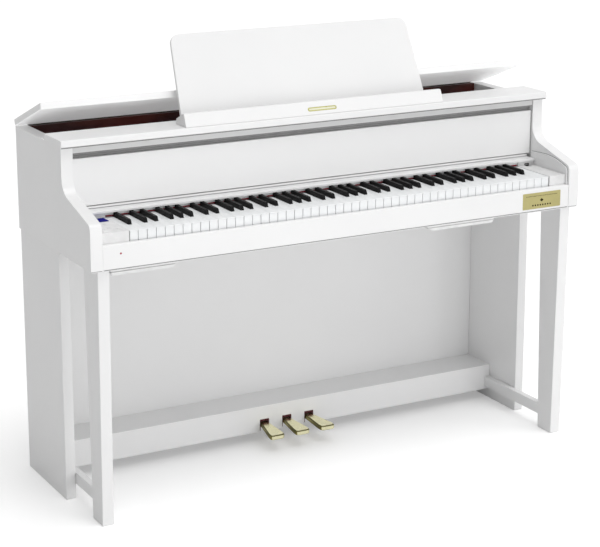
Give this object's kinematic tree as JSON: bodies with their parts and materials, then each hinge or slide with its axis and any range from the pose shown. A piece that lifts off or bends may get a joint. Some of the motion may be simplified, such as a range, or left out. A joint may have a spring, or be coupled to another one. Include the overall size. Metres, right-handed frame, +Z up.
{
  "type": "upright piano",
  "caption": "White satin upright digital piano with opening top lid, sliding key cover, leaning music desk, full keyboard and brass pedals.",
  "frame": {"origin": "on the floor under the middle of the case", "axes": "+X to the player's right along the keyboard, +Y from the player to the back, +Z up"},
  "size_m": [1.434, 0.489, 1.1583],
  "materials": {
    "white_paint": "satin white paint on board",
    "grey_board": "matte light grey painted board",
    "brass": "polished",
    "steel": "brushed",
    "display_glass": "gloss dark blue window",
    "red_felt": "matte felt",
    "black_plastic": "matte",
    "speaker_black": "matte",
    "mahogany": "dark red-brown satin varnish",
    "raw_wood": "unfinished",
    "white_plastic": "satin",
    "key_ivory": "satin white key covering on wood",
    "key_ebony": "fine matte black key covering on wood"
  },
  "bodies": {
    "case": {"amplifier_box": "white_paint", "back_board": "grey_board", "brass_plate": "brass", "cover_shelf": "white_paint", "display_window": "display_glass", "front_panel": "white_paint", "jack_box": "white_paint", "key_frame": "raw_wood", "key_slip": "white_paint", "keybed": "white_paint", "left_arm": "white_paint", "left_cheek": "white_paint", "left_foot_rail": "white_paint", "left_key_block": "white_plastic", "left_leg": "white_paint", "left_side_panel": "white_paint", "left_speaker": "speaker_black", "lid_hinge_rod": "steel", "music_ledge": "white_paint", "name_felt": "red_felt", "pedal_axle": "steel", "pedal_beam": "white_paint", "pedal_felt": "red_felt", "power_inlet": "black_plastic", "rear_cover": "white_paint", "right_arm": "white_paint", "right_cheek": "white_paint", "right_foot_rail": "white_paint", "right_key_block": "white_plastic", "right_leg": "white_paint", "right_side_panel": "white_paint", "right_speaker": "speaker_black", "tone_board": "mahogany", "top_board": "white_paint", "upper_rail": "white_paint", "usb_port": "black_plastic"},
    "lid": {"top_lid": "white_paint"},
    "cover_rear": {"cover_rear_leaf": "white_paint", "cover_hinge_rod": "steel"},
    "cover_front": {"cover_front_leaf": "white_paint"},
    "desk": {"music_desk": "white_paint"},
    "pedal_soft": {"pedal_left": "brass"},
    "pedal_sostenuto": {"pedal_middle": "brass"},
    "pedal_damper": {"pedal_right": "brass"},
    "power_key": {"power_button": "white_plastic"},
    "menu_key": {"menu_button": "white_plastic"},
    "white_bank_1": {"white_keys_1": "key_ivory"},
    "black_bank_1": {"black_keys_1": "key_ebony"},
    "white_bank_2": {"white_keys_2": "key_ivory"},
    "black_bank_2": {"black_keys_2": "key_ebony"},
    "white_bank_3": {"white_keys_3": "key_ivory"},
    "black_bank_3": {"black_keys_3": "key_ebony"},
    "white_bank_4": {"white_keys_4": "key_ivory"},
    "black_bank_4": {"black_keys_4": "key_ebony"},
    "white_bank_5": {"white_keys_5": "key_ivory"},
    "black_bank_5": {"black_keys_5": "key_ebony"},
    "white_bank_6": {"white_keys_6": "key_ivory"},
    "black_bank_6": {"black_keys_6": "key_ebony"},
    "white_bank_7": {"white_keys_7": "key_ivory"},
    "black_bank_7": {"black_keys_7": "key_ebony"}
  },
  "joints": [
    {"name": "lid_hinge", "type": "hinge", "parent": "case", "child": "lid", "pos_m": [0, 0.2385, 0.9302], "axis": [1, 0, 0], "range_deg": [0, 20.8]},
    {"name": "cover_slide", "type": "slide", "parent": "case", "child": "cover_rear", "axis": [0, -1, 0], "range_m": [0, 0.1775]},
    {"name": "cover_fold", "type": "hinge", "parent": "cover_rear", "child": "cover_front", "pos_m": [0, 0.032, 0.7683], "axis": [1, 0, 0], "range_deg": [0, 5.1]},
    {"name": "desk_hinge", "type": "hinge", "parent": "case", "child": "desk", "pos_m": [0, -0.009, 0.953], "axis": [-1, 0, 0], "range_deg": [-16, 12]},
    {"name": "pedal_soft_hinge", "type": "hinge", "parent": "case", "child": "pedal_soft", "pos_m": [-0.07, 0.172, 0.051], "axis": [1, 0, 0], "range_deg": [0, 8], "stiffness_Nm_per_rad": 12, "springref_deg": -8.59},
    {"name": "pedal_sostenuto_hinge", "type": "hinge", "parent": "case", "child": "pedal_sostenuto", "pos_m": [0, 0.172, 0.051], "axis": [1, 0, 0], "range_deg": [0, 8], "stiffness_Nm_per_rad": 12, "springref_deg": -8.59},
    {"name": "pedal_damper_hinge", "type": "hinge", "parent": "case", "child": "pedal_damper", "pos_m": [0.07, 0.172, 0.051], "axis": [1, 0, 0], "range_deg": [0, 8], "stiffness_Nm_per_rad": 12, "springref_deg": -8.59},
    {"name": "white_bank_1_hinge", "type": "hinge", "parent": "case", "child": "white_bank_1", "pos_m": [0, 0.015, 0.718], "axis": [1, 0, 0], "range_deg": [0, 2.4], "stiffness_Nm_per_rad": 12, "springref_deg": -6.88},
    {"name": "black_bank_1_hinge", "type": "hinge", "parent": "case", "child": "black_bank_1", "pos_m": [0, 0.015, 0.718], "axis": [1, 0, 0], "range_deg": [0, 2.9], "stiffness_Nm_per_rad": 6, "springref_deg": -6.88},
    {"name": "white_bank_2_hinge", "type": "hinge", "parent": "case", "child": "white_bank_2", "pos_m": [0, 0.015, 0.718], "axis": [1, 0, 0], "range_deg": [0, 2.4], "stiffness_Nm_per_rad": 12, "springref_deg": -6.88},
    {"name": "black_bank_2_hinge", "type": "hinge", "parent": "case", "child": "black_bank_2", "pos_m": [0, 0.015, 0.718], "axis": [1, 0, 0], "range_deg": [0, 2.9], "stiffness_Nm_per_rad": 6, "springref_deg": -6.88},
    {"name": "white_bank_3_hinge", "type": "hinge", "parent": "case", "child": "white_bank_3", "pos_m": [0, 0.015, 0.718], "axis": [1, 0, 0], "range_deg": [0, 2.4], "stiffness_Nm_per_rad": 12, "springref_deg": -6.88},
    {"name": "black_bank_3_hinge", "type": "hinge", "parent": "case", "child": "black_bank_3", "pos_m": [0, 0.015, 0.718], "axis": [1, 0, 0], "range_deg": [0, 2.9], "stiffness_Nm_per_rad": 6, "springref_deg": -6.88},
    {"name": "white_bank_4_hinge", "type": "hinge", "parent": "case", "child": "white_bank_4", "pos_m": [0, 0.015, 0.718], "axis": [1, 0, 0], "range_deg": [0, 2.4], "stiffness_Nm_per_rad": 12, "springref_deg": -6.88},
    {"name": "black_bank_4_hinge", "type": "hinge", "parent": "case", "child": "black_bank_4", "pos_m": [0, 0.015, 0.718], "axis": [1, 0, 0], "range_deg": [0, 2.9], "stiffness_Nm_per_rad": 6, "springref_deg": -6.88},
    {"name": "white_bank_5_hinge", "type": "hinge", "parent": "case", "child": "white_bank_5", "pos_m": [0, 0.015, 0.718], "axis": [1, 0, 0], "range_deg": [0, 2.4], "stiffness_Nm_per_rad": 12, "springref_deg": -6.88},
    {"name": "black_bank_5_hinge", "type": "hinge", "parent": "case", "child": "black_bank_5", "pos_m": [0, 0.015, 0.718], "axis": [1, 0, 0], "range_deg": [0, 2.9], "stiffness_Nm_per_rad": 6, "springref_deg": -6.88},
    {"name": "white_bank_6_hinge", "type": "hinge", "parent": "case", "child": "white_bank_6", "pos_m": [0, 0.015, 0.718], "axis": [1, 0, 0], "range_deg": [0, 2.4], "stiffness_Nm_per_rad": 12, "springref_deg": -6.88},
    {"name": "black_bank_6_hinge", "type": "hinge", "parent": "case", "child": "black_bank_6", "pos_m": [0, 0.015, 0.718], "axis": [1, 0, 0], "range_deg": [0, 2.9], "stiffness_Nm_per_rad": 6, "springref_deg": -6.88},
    {"name": "white_bank_7_hinge", "type": "hinge", "parent": "case", "child": "white_bank_7", "pos_m": [0, 0.015, 0.718], "axis": [1, 0, 0], "range_deg": [0, 2.4], "stiffness_Nm_per_rad": 12, "springref_deg": -6.88},
    {"name": "black_bank_7_hinge", "type": "hinge", "parent": "case", "child": "black_bank_7", "pos_m": [0, 0.015, 0.718], "axis": [1, 0, 0], "range_deg": [0, 2.9], "stiffness_Nm_per_rad": 6, "springref_deg": -6.88},
    {"name": "power_key_press", "type": "slide", "parent": "case", "child": "power_key", "axis": [0, 0, -1], "range_m": [0, 0.001], "stiffness_N_per_m": 400, "springref_m": -0.002},
    {"name": "menu_key_press", "type": "slide", "parent": "case", "child": "menu_key", "axis": [0, 0, -1], "range_m": [0, 0.001], "stiffness_N_per_m": 400, "springref_m": -0.002}
  ],
  "couplings": [
    {"joint": "cover_fold", "follows": "cover_slide", "rad_per_m": 0.5}
  ]
}
